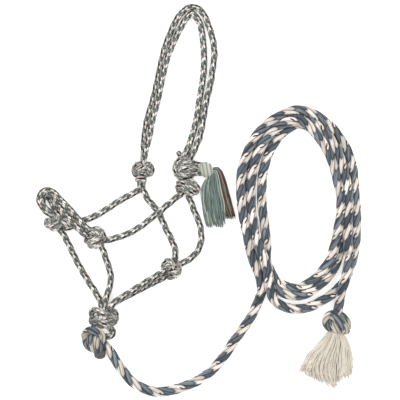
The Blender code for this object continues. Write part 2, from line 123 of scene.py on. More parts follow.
NEAR_SIDE_CHEEK = [
    (0.094, -0.032, 0.012),
    (0.0805, -0.044, 0.009), (0.067, -0.055, 0.012), (0.055, -0.065, 0.0165),
    (0.045, -0.074, 0.0182), (0.034, -0.082, 0.016), (0.022, -0.092, 0.0115),
    (0.005, -0.104, 0.007), (-0.013, -0.114, 0.006), (-0.031, -0.12, 0.006),
    (-0.047, -0.1245, 0.0085), (-0.062, -0.125, 0.011),
]
OFF_SIDE_THROAT = [
    (0.017, -0.008, 0.014), (0.014, -0.022, 0.0115),
    (0.015, -0.034, 0.008), (0.023, -0.051, 0.006), (0.034, -0.064, 0.006),
    (0.043, -0.075, 0.006), (0.049, -0.089, 0.006), (0.056, -0.105, 0.006),
    (0.065, -0.122, 0.006), (0.072, -0.14, 0.006), (0.073, -0.152, 0.008),
    (0.069, -0.166, 0.012),
]
NEAR_SIDE_THROAT = [
    (0.093, -0.032, 0.011),
    (0.096, -0.044, 0.009), (0.102, -0.06, 0.006), (0.108, -0.076, 0.006),
    (0.115, -0.092, 0.006), (0.119, -0.111, 0.006), (0.119, -0.127, 0.006),
    (0.113, -0.144, 0.006), (0.101, -0.157, 0.006), (0.086, -0.166, 0.009),
    (0.073, -0.172, 0.012),
]
OFF_SIDE_CHIN = [
    (-0.141, -0.096, 0.011),
    (-0.1312, -0.1095, 0.008), (-0.1217, -0.1265, 0.006), (-0.113, -0.144, 0.006),
    (-0.104, -0.163, 0.006), (-0.094, -0.181, 0.006), (-0.083, -0.199, 0.006),
    (-0.072, -0.216, 0.006), (-0.064, -0.23, 0.007), (-0.06, -0.238, 0.009),
    (-0.058, -0.252, 0.013),
]
NEAR_SIDE_CHIN = [
    (-0.064, -0.127, 0.012),
    (-0.057, -0.142, 0.009), (-0.051, -0.161, 0.006), (-0.045, -0.179, 0.006),
    (-0.043, -0.197, 0.006), (-0.047, -0.215, 0.008), (-0.051, -0.229, 0.014),
    (-0.052, -0.238, 0.019), (-0.055, -0.252, 0.02),
]
JAW_LOWER = [
    (0.062, -0.181, 0.013),
    (0.051, -0.192, 0.01), (0.036, -0.2, 0.006), (0.014, -0.211, 0.006),
    (-0.009, -0.223, 0.006), (-0.029, -0.233, 0.007), (-0.04, -0.241, 0.009),
    (-0.05, -0.252, 0.012),
]
JAW_UPPER = [
    (0.06, -0.175, 0.018),
    (0.046, -0.184, 0.018), (0.032, -0.193, 0.0155), (0.013, -0.204, 0.0155),
    (-0.007, -0.217, 0.016), (-0.026, -0.229, 0.018), (-0.038, -0.238, 0.021),
    (-0.049, -0.249, 0.019),
]
NOSEBAND_UPPER = [
    (-0.1415, -0.087, 0.024),
    (-0.146, -0.08, 0.028), (-0.155, -0.074, 0.029), (-0.164, -0.063, 0.029),
    (-0.168, -0.052, 0.029), (-0.164, -0.0405, 0.0285), (-0.154, -0.0355, 0.027),
    (-0.143, -0.04, 0.025), (-0.133, -0.051, 0.0225), (-0.1205, -0.0635, 0.022),
    (-0.1095, -0.0755, 0.0235), (-0.0985, -0.088, 0.0248), (-0.088, -0.1, 0.024),
    (-0.077, -0.11, 0.018),
]
NOSEBAND_MIDDLE = [
    (-0.1425, -0.087, 0.016),
    (-0.147, -0.081, 0.0174), (-0.155, -0.075, 0.0182), (-0.164, -0.064, 0.0184),
    (-0.1675, -0.0525, 0.0184), (-0.163, -0.044, 0.0178), (-0.154, -0.0415, 0.0165),
    (-0.146, -0.0475, 0.016), (-0.14, -0.058, 0.017), (-0.131, -0.069, 0.019),
    (-0.1215, -0.0795, 0.023), (-0.1095, -0.091, 0.028), (-0.0985, -0.104, 0.028),
    (-0.086, -0.116, 0.019),
]
NOSEBAND_LOWER = [
    (-0.141, -0.088, 0.008),
    (-0.145, -0.082, 0.006), (-0.153, -0.075, 0.006), (-0.163, -0.0655, 0.006),
    (-0.166, -0.0545, 0.006), (-0.162, -0.0475, 0.006), (-0.156, -0.0475, 0.007),
    (-0.1485, -0.056, 0.009), (-0.144, -0.0665, 0.012), (-0.137, -0.076, 0.015),
    (-0.1275, -0.0835, 0.0175), (-0.116, -0.091, 0.019), (-0.1055, -0.099, 0.0195),
    (-0.096, -0.1075, 0.017), (-0.084, -0.117, 0.012),
]
CHIN_LOOP = [
    (-0.048, -0.274, 0.012),
    (-0.044, -0.283, 0.009), (-0.039, -0.288, 0.007), (-0.041, -0.295, 0.006),
    (-0.049, -0.298, 0.006), (-0.061, -0.297, 0.006), (-0.071, -0.291, 0.006),
    (-0.073, -0.283, 0.01), (-0.07, -0.274, 0.014),
]
LEAD_STANDING = [
    (-0.058, -0.308, 0.013), (-0.052, -0.315, 0.011),
    (-0.046, -0.322, 0.009), (-0.04, -0.331, 0.0085), (-0.031, -0.345, 0.0085),
    (-0.0195, -0.3617, 0.0085), (-0.005, -0.378, 0.0085), (0.0172, -0.3915, 0.0085),
    (0.0448, -0.397, 0.0085), (0.072, -0.3924, 0.0085), (0.0995, -0.383, 0.0085),
    (0.1255, -0.369, 0.0085), (0.147, -0.349, 0.0085), (0.1645, -0.3268, 0.0085),
    (0.1798, -0.303, 0.0085), (0.1962, -0.281, 0.0085), (0.2105, -0.2582, 0.0085),
    (0.2193, -0.2398, 0.0085),
]
LEAD_ENTRY = [(0.2236, -0.2285, 0.0085), (0.2278, -0.2125, 0.009)]  # under the coil's lowest turn
# The coil, nearly four loose turns wound clockwise round an oval. The rope's distance from the middle in
# millimetres, every 15 degrees, where 0 is straight down. The first turn is the outermost, the second crosses
# over the others at the lower left and at the top, and the last leaves over the first at the lower right.
COIL_MIDDLE = Vector((0.2935, -0.0685, 0.0))
COIL_START, COIL_STEP = 30, 15
COIL_TURNS = [
    [140, 119, 105, 100, 101, 107, 119, 133, 151, 166, 176, 165,
     147, 130, 114, 104, 103, 107, 118, 135, 156, 170, 180, 169],
    [117, 100, 90, 85, 85, 89, 98, 113, 132, 150, 158, 133,
     110, 92, 82, 78, 75, 76, 80, 91, 108, 126, 142, 137],
    [112, 81, 70, 64, 65, 68, 76, 90, 110, 134, 152, 140,
     118, 100, 88, 83, 81, 83, 90, 105, 125, 142, 156, 149],
    [127, 106, 95, 91, 93, 98, 108, 124, 142, 159, 168, 149,
     128, 109, 97, 91, 88, 90, 100],
]
# (degrees wound, height in mm) of the places where the rope climbs onto another pass, or comes down again.
COIL_HEIGHTS = [
    (30, 12), (45, 17), (60, 18), (180, 18), (210, 9), (225, 8.5), (360, 8.5), (375, 10), (390, 25),
    (420, 21), (450, 18), (525, 18), (540, 26), (555, 19), (570, 18), (690, 18), (705, 14), (720, 9.5),
    (735, 8.5), (1065, 8.5), (1080, 13), (1095, 10), (1110, 8.5), (1260, 8.5), (1275, 16), (1290, 18),
    (1380, 18),
]
LEAD_TAIL = [
    (0.382, -0.15, 0.019), (0.3795, -0.177, 0.0235), (0.374, -0.198, 0.0245),
    (0.369, -0.215, 0.02), (0.3675, -0.228, 0.013), (0.366, -0.24, 0.009),
    (0.364, -0.253, 0.0085), (0.3625, -0.264, 0.012),
]

# ------------------------ passes of rope in each knot, in millimetres

OFF_SIDE_CHEEK_KNOT = [
    [(21, -13, 7), (10, -11, 9), (1, -6, 10), (0, 3, 13), (4, 10, 15), (12, 10, 20), (20, 4, 24),
     (27, -3, 20), (29, -7, 10)],
    [(8, 11, 8), (18, 10.5, 13), (27, 9, 13), (31, 3, 12), (29, -4, 12), (21, -7.5, 15), (12, -6, 19),
     (4, -2, 19), (1, 3, 12)],
    [(0, -5, 12), (7, -1, 22), (15, 3, 25.5), (23, 8, 20), (27, 11, 9)],
    [(5, -17, 8), (8, -15.5, 17), (14, -16, 18), (18, -18, 9)],
]
NEAR_SIDE_CHEEK_KNOT = [
    [(77, -24, 8), (82, -22, 15), (90, -25.5, 21), (99, -31, 22), (107, -37, 15), (111, -40, 7)],
    [(75.5, -31, 8), (81, -30, 16), (90, -34.5, 20), (99, -39.5, 17), (105, -42, 9)],
    [(95, -17, 12), (102, -20, 18), (109, -26, 17), (112.5, -33, 12), (110, -40, 8)],
    [(84, -41, 7), (80, -38, 10), (77, -33, 9)],
]
TIE_KNOT = [
    [(104, -8, 7), (96, -12.5, 12), (84, -12.5, 16), (76, -8, 17), (73, 0, 16), (74, 10, 17), (79, 18, 18),
     (87, 20, 20), (96, 16, 22), (102, 11, 15)],
    [(84, -12, 8), (80, -3, 19), (87, 3, 25), (97, 5, 25), (106, 4, 16), (109, 1, 7)],
    [(80, 15, 8), (82, 11, 17), (91, 14, 24), (101, 13, 20), (110, 10.5, 13)],
    [(78, 2, 10), (82, -6, 20), (91, -7, 25), (101, -5, 19), (110, -4.5, 12)],
    [(100, 24, 8), (92, 24, 14), (86, 20, 12), (84, 12, 9)],
]
TIE_SLIP_LOOP = [(85, 20, 12), (80, 29, 13), (76.5, 33.5, 12)]
TIE_TAILS = [
    [(96, 13, 21), (103, 12.5, 19), (111, 10.5, 13), (118, 8.5, 9.5), (126, 6, 8.5)],
    [(96, -6, 21), (103, -5.5, 18), (111, -4.5, 12), (118, -4, 9.5), (126, -3, 8.5)],
]
THROAT_KNOT = [
    [(51, -174, 8), (54, -165, 16), (60, -161, 21), (66, -165, 24), (69, -174, 24), (70, -184, 16),
     (68, -190, 7)],
    [(52, -181, 8), (57, -173, 18), (64, -170, 25), (72, -172, 22), (78, -177, 15), (79, -183, 7)],
    [(56, -187, 7), (62, -181, 19), (70, -178, 24), (76, -181, 16), (78, -187, 7)],
    [(58, -190, 7), (67, -190.5, 14), (76, -186, 15), (79, -178, 14), (78, -169, 13), (73, -163, 9)],
]
OFF_SIDE_NOSE_KNOT = [
    [(-154.5, -87, 8), (-157.5, -94, 12), (-152.5, -99, 18), (-144.5, -96, 23), (-137.5, -91, 20),
     (-134.5, -87, 10)],
    [(-152.5, -98, 7), (-147.5, -103, 12), (-140.5, -103, 16), (-135.5, -98, 17), (-133.5, -93, 10)],
    [(-145.5, -82, 15), (-147.5, -88, 21), (-146.5, -95, 21), (-141.5, -102, 13), (-137.5, -105, 7)],
]
NEAR_SIDE_NOSE_KNOT = [
    [(-87, -116, 8), (-83, -111, 17), (-76, -109, 22), (-68, -112, 24), (-64, -120, 20), (-62, -128, 9)],
    [(-78, -107, 9), (-70, -105, 17), (-62, -106, 19), (-57, -111, 17), (-55.5, -119, 14), (-58, -127, 11),
     (-63, -131, 8)],
    [(-88, -125, 7), (-83, -127, 15), (-76, -126, 22), (-68, -122, 24.5), (-60, -117, 19), (-57, -115, 10)],
    [(-82, -132, 7), (-77, -135, 13), (-70, -135, 17), (-63, -131, 17), (-59, -124, 12)],
]
CHIN_KNOT = [
    [(-76, -262, 8), (-77, -254, 12), (-72, -249, 17), (-64, -249, 23), (-56, -253, 26), (-47, -258, 24),
     (-38, -262, 17), (-35, -266, 8)],
    [(-76, -267, 10), (-70, -264.5, 20), (-62, -268, 25.5), (-54, -272, 25), (-46, -275, 18), (-40, -275, 8)],
    [(-50, -249, 12), (-42, -249, 18), (-35, -253, 17), (-33.5, -259, 14), (-38, -265, 16), (-45, -266, 20),
     (-52, -262, 21)],
    [(-75, -262, 9), (-77, -270, 11), (-70, -276, 13), (-60, -277.5, 14), (-50, -277, 14), (-40, -274, 13),
     (-34, -268, 11), (-34, -260, 9)],
]
LEAD_KNOT = [
    [(-88, -302, 9), (-87, -292, 14), (-79, -286, 20), (-68, -286, 26), (-60, -291.5, 26), (-58, -302, 20),
     (-58, -312, 14), (-61, -320, 9)],
    [(-72, -296, 14), (-83, -297, 16), (-86, -305, 13), (-82, -314, 11), (-74, -318, 13), (-64, -317, 17)],
    [(-75, -292, 12), (-77, -299, 24), (-75, -308, 26.5), (-71, -316, 22), (-67, -321, 13)],
    [(-64, -294, 14), (-66, -301, 25), (-65, -309, 27), (-63.5, -317, 24), (-62, -324, 18),
     (-61.8, -330, 13)],
]
STOPPER_KNOT = [
    [(363, -256, 10), (354.5, -257.5, 14), (346, -261, 16), (342.5, -268.5, 14), (345, -277, 12),
     (352, -283, 9)],
    [(349, -262, 14), (356, -262, 21), (364, -267, 26), (371.5, -275, 24), (377, -283, 17), (378, -289, 9)],
    [(367, -259, 11), (374, -264, 16), (378.5, -272, 16), (379, -281, 12), (375, -288, 9)],
    [(351, -268, 16), (354.5, -274.5, 21), (359.5, -280.5, 19), (366, -285, 12)],
]

# ------------------------ shapes


class Shape:
    """Points, faces and UVs of a mesh, and the (first point, line, distances, radius) of each rope in it."""

    def __init__(self, points, faces, uv, ropes=()):
        self.points = points
        self.faces = faces
        self.uv = uv
        self.ropes = list(ropes)


def gaps(line):
    """The distance from each point of a line to the next."""
    return np.linalg.norm(np.diff(line, axis=0), axis=1)


def distances_along(line):
    return np.concatenate([[0], np.cumsum(gaps(line))])


def line_length(line):
    return float(gaps(line).sum())


def smooth(route, spacing):
    """Points about one spacing apart on the smooth curve through a route, as an array."""
    p = np.array(route, float)
    p = np.vstack([2 * p[0] - p[1], p, 2 * p[-1] - p[-2]])
    t = np.linspace(0, 1, CURVE_STEPS, endpoint=False)[:, None]
    parts = []
    for a, b, c, d in zip(p, p[1:], p[2:], p[3:]):
        square = 2 * a - 5 * b + 4 * c - d
        cube = 3 * b - a - 3 * c + d
        parts.append(0.5 * (2 * b + (c - a) * t + square * t**2 + cube * t**3))
    fine = np.vstack([*parts, p[-2]])
    along = distances_along(fine)
    count = max(3, round(along[-1] / spacing))
    want = np.linspace(0, along[-1], count + 1)
    return np.column_stack([np.interp(want, along, fine[:, k]) for k in range(3)])


def rings_along(line):
    """(distances, normals, binormals) of a line, with no twist between neighbouring rings."""
    ahead = np.gradient(line, axis=0)
    ahead /= np.linalg.norm(ahead, axis=1)[:, None]
    normal = np.cross(ahead[0], (0, 0, 1.0))
    if np.linalg.norm(normal) < 1e-3:
        normal = np.cross(ahead[0], (1.0, 0, 0))
    normals = []
    for direction in ahead:
        normal = normal - direction * np.dot(normal, direction)
        normal = normal / np.linalg.norm(normal)
        normals.append(normal)
    normals = np.array(normals)
    return distances_along(line), normals, np.cross(ahead, normals)


def outwards(normals, others, angle):
    """Directions out from a line at each of the angles, in every ring."""
    cosine = np.cos(angle)[None, :, None]
    sine = np.sin(angle)[None, :, None]
    return normals[:, None, :] * cosine + others[:, None, :] * sine


def tube_faces(v, sides):
    """(faces, UVs) of a closed tube of rings. v is each ring's place along it, and u goes once round it."""
    count = len(v)
    i, j = np.meshgrid(np.arange(count - 1), np.arange(sides), indexing="ij")
    k = (j + 1) % sides
    ring, following = i * sides, (i + 1) * sides
    quads = np.stack([ring + j, ring + k, following + k, following + j], axis=-1).reshape(-1, 4)
    left, right = j / sides, (j + 1) / sides
    low, high = v[i], v[i + 1]
    uv = np.stack([left, low, right, low, right, high, left, high], axis=-1).reshape(-1, 2)
    caps = [list(range(sides))[::-1], list(range((count - 1) * sides, count * sides))]
    cap_uv = np.full((2 * sides, 2), 0.5)
    return quads.tolist() + caps, np.vstack([uv, cap_uv])


def stitch_relief(u, v, columns, per_lay, wind, point, lean, relief):
    """Height of a braid's stitches, 0 to relief. u goes once round the rope and v once in each lay."""
    place = columns * (u + wind * v)
    column = np.floor(place)
    across = place - column - 0.5
    along = per_lay * ((1 + wind) * v - (column + 0.5) / columns) + point * np.abs(across)
    share = along - np.floor(along)
    side = 2 * (column % 2) - 1
    width = np.clip(1 - np.abs(2 * (across + lean * side * (share - 0.5))) ** 2.4, 0, 1)
    length = np.clip(1 - np.abs(2 * share - 1) ** 4, 0, 1)
    return relief * width**0.8 * (0.3 + 0.7 * length)


def braid_over(line, far, normals, others, diameter, lay, weave, shift=0.0, ends=(1.0, 1.0)):
    """The shape of a braided rope round a line. ends scales the first and last ring."""
    u = np.arange(SIDES) / SIDES
    v = far / lay + shift
    height = stitch_relief(u[None, :], v[:, None], **weave)
    radius = diameter / 2 * (1 - weave["relief"] + height)
    room = np.ones(len(line))
    for left, at in zip(ends, (far - far[0], far[-1] - far)):
        if left < 1:
            near = np.clip(at / (diameter * END_LENGTH), 0, 1)
            room *= left + (1 - left) * np.sqrt(1 - (1 - near) ** 2)
    out = outwards(normals, others, 2 * np.pi * u)
    points = line[:, None, :] + out * (radius * room[:, None])[:, :, None]
    faces, uv = tube_faces(v, SIDES)
    return Shape(points.reshape(-1, 3), faces, uv, [(0, line, far, diameter / 2)])


def braid(route, diameter, lay, spacing, weave, shift=0.0, ends=(1.0, 1.0)):
    """A braided rope along a route. shift slides its pattern along it."""
    line = smooth(route, spacing)
    return braid_over(line, *rings_along(line), diameter, lay, weave, shift, ends)


def joined(shapes):
    """Several shapes as one."""
    faces, ropes, start = [], [], 0
    for shape in shapes:
        faces += [[index + start for index in face] for face in shape.faces]
        ropes += [(first + start, *rest) for first, *rest in shape.ropes]
        start += len(shape.points)
    return Shape(np.vstack([s.points for s in shapes]), faces, np.vstack([s.uv for s in shapes]), ropes)


BRAIDED = []  # (object, ropes) of every piece with braided rope in it


def piece(name, shape, finish, nodes=(), body=None, tints=None):
    """A mesh piece that stands for CAD nodes, and rides on a body if one is given."""
    mesh = bpy.data.meshes.new(name)
    mesh.from_pydata(shape.points.tolist(), [], shape.faces)
    layer = mesh.uv_layers.new(name="UVMap")
    layer.uv.foreach_set("vector", shape.uv.astype(np.float32).ravel())
    if tints is not None:
        colour = mesh.color_attributes.new("tint", "FLOAT_COLOR", "POINT")
        opaque = np.column_stack([tints, np.ones(len(tints))])
        colour.data.foreach_set("color", opaque.astype(np.float32).ravel())
    mesh.shade_smooth()
    mesh.materials.append(finish)
    obj = bpy.data.objects.new(name, mesh)
    bpy.context.scene.collection.objects.link(obj)
    if nodes:
        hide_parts(*nodes)
    if body:
        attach(obj, body)
    if shape.ropes:
        BRAIDED.append((obj, shape.ropes))
    return obj


def paint_crevice_shade():
    """Gives each braided piece its painted crevice shade, from 0 where it touches another pass to 1 in the
    open.
    """
    lines, distances, radii, owners = [], [], [], []
    owner = 0
    for _, ropes in BRAIDED:
        for _, line, far, radius in ropes:
            lines.append(line[::2])
            distances.append(far[::2])
            radii.append(np.full(len(line[::2]), radius))
            owners.append(np.full(len(line[::2]), owner))
            owner += 1
    lines, distances, radii, owners = map(np.concatenate, (lines, distances, radii, owners))
    owner = 0
    for obj, ropes in BRAIDED:
        points = np.empty(len(obj.data.vertices) * 3, np.float32)
        obj.data.vertices.foreach_get("co", points)
        points = points.reshape(-1, 3)
        tint = np.ones(len(points))
        for first, line, far, radius in ropes:
            reach = NEARBY * radius + CREVICE_RINGS * LEAD_SPACING
            for ring in range(0, len(line), CREVICE_RINGS):
                last = min(ring + CREVICE_RINGS, len(line))
                some = slice(first + ring * SIDES, first + last * SIDES)
                middle = (ring + last) // 2
                near = np.abs(lines - line[middle]).max(axis=1) < reach
                near &= (owners != owner) | (np.abs(distances - far[middle]) > OWN_STRETCH * radius)
                if near.any():
                    away = np.linalg.norm(points[some, None, :] - lines[None, near, :], axis=2)
                    gap = away / radii[near] - 1.0
                    tint[some] = np.clip(gap.min(axis=1) / CREVICE_WIDTH, 0, 1)
            owner += 1
        # The painted shade goes into a colour attribute that the braid materials multiply in.
        colour = obj.data.color_attributes.new("crevice_shade", "FLOAT_COLOR", "POINT")
        tint = np.repeat(tint[:, None], 4, axis=1)
        colour.data.foreach_set("color", tint.astype(np.float32).ravel())


def metres(passes):
    """The passes of a knot in metres, from millimetres."""
    return [[(x * MM, y * MM, z * MM) for x, y, z in route] for route in passes]


def threads(paths, thickness, sides, rings):
    """(shape, counts of points) of yarns along (route, scale) paths, each a thin tube with narrower ends."""
    shapes = []
    for route, scale in paths:
        line = smooth(route, line_length(route) / rings)
        far, normals, others = rings_along(line)
        size = np.full(len(line), thickness * scale / 2)
        size[[0, -1]] *= YARN_ENDS
        out = outwards(normals, others, 2 * np.pi * np.arange(sides) / sides)
        points = line[:, None, :] + out * size[:, None, None]
        shapes.append(Shape(points.reshape(-1, 3), *tube_faces(far / YARN_TWIST, sides)))
    return joined(shapes), [len(shape.points) for shape in shapes]


# ------------------------ materials


def linear(red, green, blue):
    """An sRGB colour, 0 to 255, as linear RGBA."""
    values = [c / 255 for c in (red, green, blue)]
    return (*[c / 12.92 if c <= 0.04045 else ((c + 0.055) / 1.055) ** 2.4 for c in values], 1.0)


# HALTER_BROWN and LEAD_BROWN are brown yarns; the third colour is painted shade in the gaps between stitches.
HALTER_BROWN, LEAD_BROWN, STITCH_GAP_SHADE = linear(56, 37, 33), linear(64, 43, 37), linear(48, 43, 41)


class Nodes:
    """Short calls for the nodes of one material."""

    def __init__(self, name):
        self.material = bpy.data.materials.new(name)
        self.material.use_nodes = True
        self.tree = self.material.node_tree
        self.shader = self.tree.nodes["Principled BSDF"]

    def add(self, kind, inputs=None, **settings):
        node = self.tree.nodes.new(kind)
        for key, value in settings.items():
            setattr(node, key, value)
        for key, value in (inputs or {}).items():
            self.put(value, node.inputs[key])
        return node

    def put(self, value, socket):
        if isinstance(value, bpy.types.NodeSocket):
            self.tree.links.new(value, socket)
        else:
            socket.default_value = value

    def math(self, operation, a, b=0.0, c=0.0):
        return self.add("ShaderNodeMath", {0: a, 1: b, 2: c}, operation=operation).outputs[0]

    def uv(self):
        """The mesh's u and v."""
        uv_map = self.add("ShaderNodeUVMap", uv_map="UVMap").outputs[0]
        place = self.add("ShaderNodeSeparateXYZ", {0: uv_map})
        return place.outputs[0], place.outputs[1]

    def noise_at(self, x, y, z):
        """A value from 0 to 1 that is always the same at the same place."""
        place = self.add("ShaderNodeCombineXYZ", {0: x, 1: y, 2: z}).outputs[0]
        return self.add("ShaderNodeTexWhiteNoise", {"Vector": place}, noise_dimensions="3D").outputs[0]

    def grey(self, value):
        return self.add("ShaderNodeCombineColor", {0: value, 1: value, 2: value}).outputs[0]

    def mix(self, factor, a, b, blend="MIX"):
        node = self.add("ShaderNodeMix", data_type="RGBA", blend_type=blend)
        self.put(factor, node.inputs[0])
        self.put(a, node.inputs[6])
        self.put(b, node.inputs[7])
        return node.outputs[2]

    def fibrous(self, colour, height, strength, depth, roughness, sheen):
        """Makes the surface soft yarn of this colour, with the height as its bump."""
        bump = self.add("ShaderNodeBump", {"Height": height, "Strength": strength, "Distance": depth})
        inputs = self.shader.inputs
        self.put(colour, inputs["Base Color"])
        self.put(bump.outputs[0], inputs["Normal"])
        self.put(roughness, inputs["Roughness"])
        self.put(sheen, inputs["Sheen Weight"])
        self.put(0.2, inputs["Specular IOR Level"])
        return self.material


def stitch_places(n, weave):
    """Which stitch each point of the rope is in, and where in it the point lies."""
    columns, per_lay, wind = weave["columns"], weave["per_lay"], weave["wind"]
    u, v = n.uv()
    x = n.math("MULTIPLY", n.math("MULTIPLY_ADD", v, wind, u), columns)
    column = n.math("FLOOR", x)
    across = n.math("SUBTRACT", n.math("FRACT", x), 0.5)
    start = n.math("MULTIPLY_ADD", column, -per_lay / columns, -0.5 * per_lay / columns)
    along = n.math("MULTIPLY_ADD", v, per_lay * (1 + wind), start)
    along = n.math("MULTIPLY_ADD", n.math("ABSOLUTE", across), weave["point"], along)
    row = n.math("FLOOR", along)
    share = n.math("FRACT", along)
    pair = n.math("FRACT", n.math("MULTIPLY_ADD", column, 0.5, 0.25))
    odd = n.math("FLOOR", n.math("MULTIPLY", pair, 2.0))
    step = n.math("FRACT", n.math("MULTIPLY_ADD", row, 1 / per_lay, 0.5 / per_lay))
    step = n.math("FLOOR", n.math("MULTIPLY", step, per_lay))
    side = n.math("MULTIPLY_ADD", odd, 2.0, -1.0)
    tilt = n.math("MULTIPLY", n.math("MULTIPLY", side, weave["lean"]), n.math("SUBTRACT", share, 0.5))
    leaned = n.math("ADD", across, tilt)

    # The same stitch has the same seed on both sides of the seam.
    turn = n.math("FLOOR", n.math("MULTIPLY_ADD", column, 1 / columns, 0.5 / columns))
    own_column = n.math("MULTIPLY_ADD", turn, -columns, column)
    own_row = n.math("MULTIPLY_ADD", turn, per_lay, row)
    seed = n.noise_at(own_column, own_row, 3.7)
    return SimpleNamespace(
        column=column, own_column=own_column, own_row=own_row, odd=odd, step=step, across=across,
        leaned=leaned, along=along, share=share, seed=seed,
    )


def stitch_colour(n, stitch, per_lay, colours):
    """The stitch's colour, by its step in the lay and by whether its column is even or odd."""
    kind = n.math("MULTIPLY_ADD", stitch.odd, per_lay, n.math("ADD", stitch.step, 0.5))
    ramp = n.add("ShaderNodeValToRGB", {0: n.math("DIVIDE", kind, 2.0 * per_lay)})
    ramp.color_ramp.interpolation = "CONSTANT"
    for index, shade in enumerate(colours):
        if index < 2:
            stop = ramp.color_ramp.elements[index]
            stop.position = index / len(colours)
        else:
            stop = ramp.color_ramp.elements.new(index / len(colours))
        stop.color = shade
    return ramp.outputs[0]


def stitch_body(n, stitch):
    """1 in the middle of the stitch, and down to 0 at its edges."""
    width = n.math("POWER", n.math("ABSOLUTE", n.math("MULTIPLY", stitch.leaned, 2.0)), 2.6)
    length = n.math("POWER", n.math("ABSOLUTE", n.math("MULTIPLY_ADD", stitch.share, 2.0, -1.0)), 5.0)
    body = n.math("MULTIPLY", n.math("SUBTRACT", 1.0, width), n.math("SUBTRACT", 1.0, length))
    return n.math("POWER", n.math("MAXIMUM", body, 0.0), 0.55)


def stitch_fibres(n, stitch):
    """Fine fibres that run along the stitch."""
    where = n.add("ShaderNodeCombineXYZ", {
        0: n.math("MULTIPLY", stitch.leaned, 7.0),
        1: n.math("MULTIPLY", stitch.along, 1.5),
        2: n.math("MULTIPLY", stitch.seed, 37.0),
    })
    return n.add("ShaderNodeTexNoise", {"Vector": where.outputs[0], "Scale": 1.0, "Detail": 4.0}).outputs[0]


def braid_material(name, weave, yarns, colours, flecks, bump):
    """Braided yarn. colours are one lay of stitches in an even column, then one lay in an odd column.

    yarns of them lie side by side in a stitch. flecks(nodes, stitch) gives the dark tracer's mask and colour.
    """
    n = Nodes(name)
    stitch = stitch_places(n, weave)
    stitch.fibre = stitch_fibres(n, stitch)
    body = stitch_body(n, stitch)
    colour = stitch_colour(n, stitch, weave["per_lay"], colours)

    place = n.math("MULTIPLY_ADD", stitch.leaned, yarns, 0.5 * yarns)
    from_middle = n.math("ABSOLUTE", n.math("MULTIPLY_ADD", n.math("FRACT", place), 2.0, -1.0))
    # Each yarn is darkened towards its edges: painted shade of its roundness.
    yarn_round = n.math("SUBTRACT", 1.0, n.math("MULTIPLY", n.math("POWER", from_middle, 3.0), 0.30))
    # The yarns of a dark stitch differ more than those of a light one.
    yarn_seed = n.noise_at(stitch.own_column, stitch.own_row, n.math("FLOOR", place))
    bright = n.add("ShaderNodeRGBToBW", {0: colour}).outputs[0]
    spread = n.math("SUBTRACT", 1.15, bright)
    differs = n.math("MULTIPLY_ADD", n.math("SUBTRACT", yarn_seed, 0.40), spread, 1.03)
    solid = n.add("ShaderNodeTexCoord").outputs["Object"]
    worn = n.add("ShaderNodeTexNoise", {"Vector": solid, "Scale": 60.0, "Detail": 3.0}).outputs[0]
    # Painted shade where one pass of rope touches another.
    crevice_shade = n.add("ShaderNodeAttribute", attribute_name="crevice_shade").outputs[2]

    # Fibres, yarns, wear and each stitch vary the tone at random; the darkening at the yarns' edges, at the
    # stitches' edges and where passes touch is painted shade.
    shade = n.math("MULTIPLY", n.math("ADD", stitch.fibre, 0.5), yarn_round)
    shade = n.math("MULTIPLY", shade, differs)
    for cause, share, least in (
        (worn, 0.6, 0.70), (stitch.seed, 0.40, 0.78), (body, 0.84, 0.20), (crevice_shade, 0.42, 0.58),
    ):
        shade = n.math("MULTIPLY", shade, n.math("MULTIPLY_ADD", cause, share, least))
    colour = n.mix(1.0, colour, n.grey(shade), "MULTIPLY")
    # Painted shade: the gaps between stitches are darkened towards a dark brown.
    gap = n.math("POWER", n.math("SUBTRACT", 1.0, body), 2.0)
    colour = n.mix(n.math("MULTIPLY", gap, 0.85), colour, STITCH_GAP_SHADE)
    mask, dark = flecks(n, stitch)
    colour = n.mix(mask, colour, dark)
    rise = n.math("MULTIPLY", n.math("MULTIPLY", body, yarn_round), 0.7)
    height = n.math("MULTIPLY_ADD", stitch.fibre, 0.9, rise)
    return n.fibrous(colour, height, 0.8, bump, roughness=0.9, sheen=0.10)


def oval_flecks(n, stitch):
    """In two of the ten columns, one stitch in every lay is dark brown."""
    fifth = n.math("FRACT", n.math("MULTIPLY_ADD", stitch.column, 0.2, 0.1))
    tracer_column = n.math("COMPARE", fifth, 0.3, 0.05)
    tracer_step = n.math("COMPARE", stitch.step, 0.0, 0.1)
    here = n.math("MULTIPLY", tracer_column, tracer_step)
    from_middle = n.math("ABSOLUTE", n.math("SUBTRACT", stitch.share, 0.5))
    wide = n.math("POWER", n.math("DIVIDE", n.math("ABSOLUTE", stitch.across), 0.52), 2.0)
    long = n.math("POWER", n.math("DIVIDE", from_middle, 0.52), 2.0)
    rough = n.math("MULTIPLY_ADD", stitch.fibre, 0.8, -0.4)
    inside = n.math("LESS_THAN", n.math("ADD", n.math("ADD", wide, long), rough), 1.0)
    return n.math("MULTIPLY", here, inside), HALTER_BROWN


def stroke_flecks(n, stitch):
    """A thin brown stroke slants over the tip of most of the light stitches."""
    from_tip = n.math("SUBTRACT", 1.0, stitch.share)
    middle = n.math("MULTIPLY_ADD", from_tip, -1.1, 0.44)
    near = n.math("LESS_THAN", n.math("ABSOLUTE", n.math("SUBTRACT", stitch.across, middle)), 0.12)
    short = n.math("LESS_THAN", from_tip, n.math("MULTIPLY_ADD", stitch.seed, 0.22, 0.20))
    light = n.math("COMPARE", stitch.step, 1.0, 0.1)
    some = n.math("GREATER_THAN", stitch.seed, 0.22)
    mask = n.math("MULTIPLY", n.math("MULTIPLY", near, short), n.math("MULTIPLY", light, some))
    return mask, LEAD_BROWN


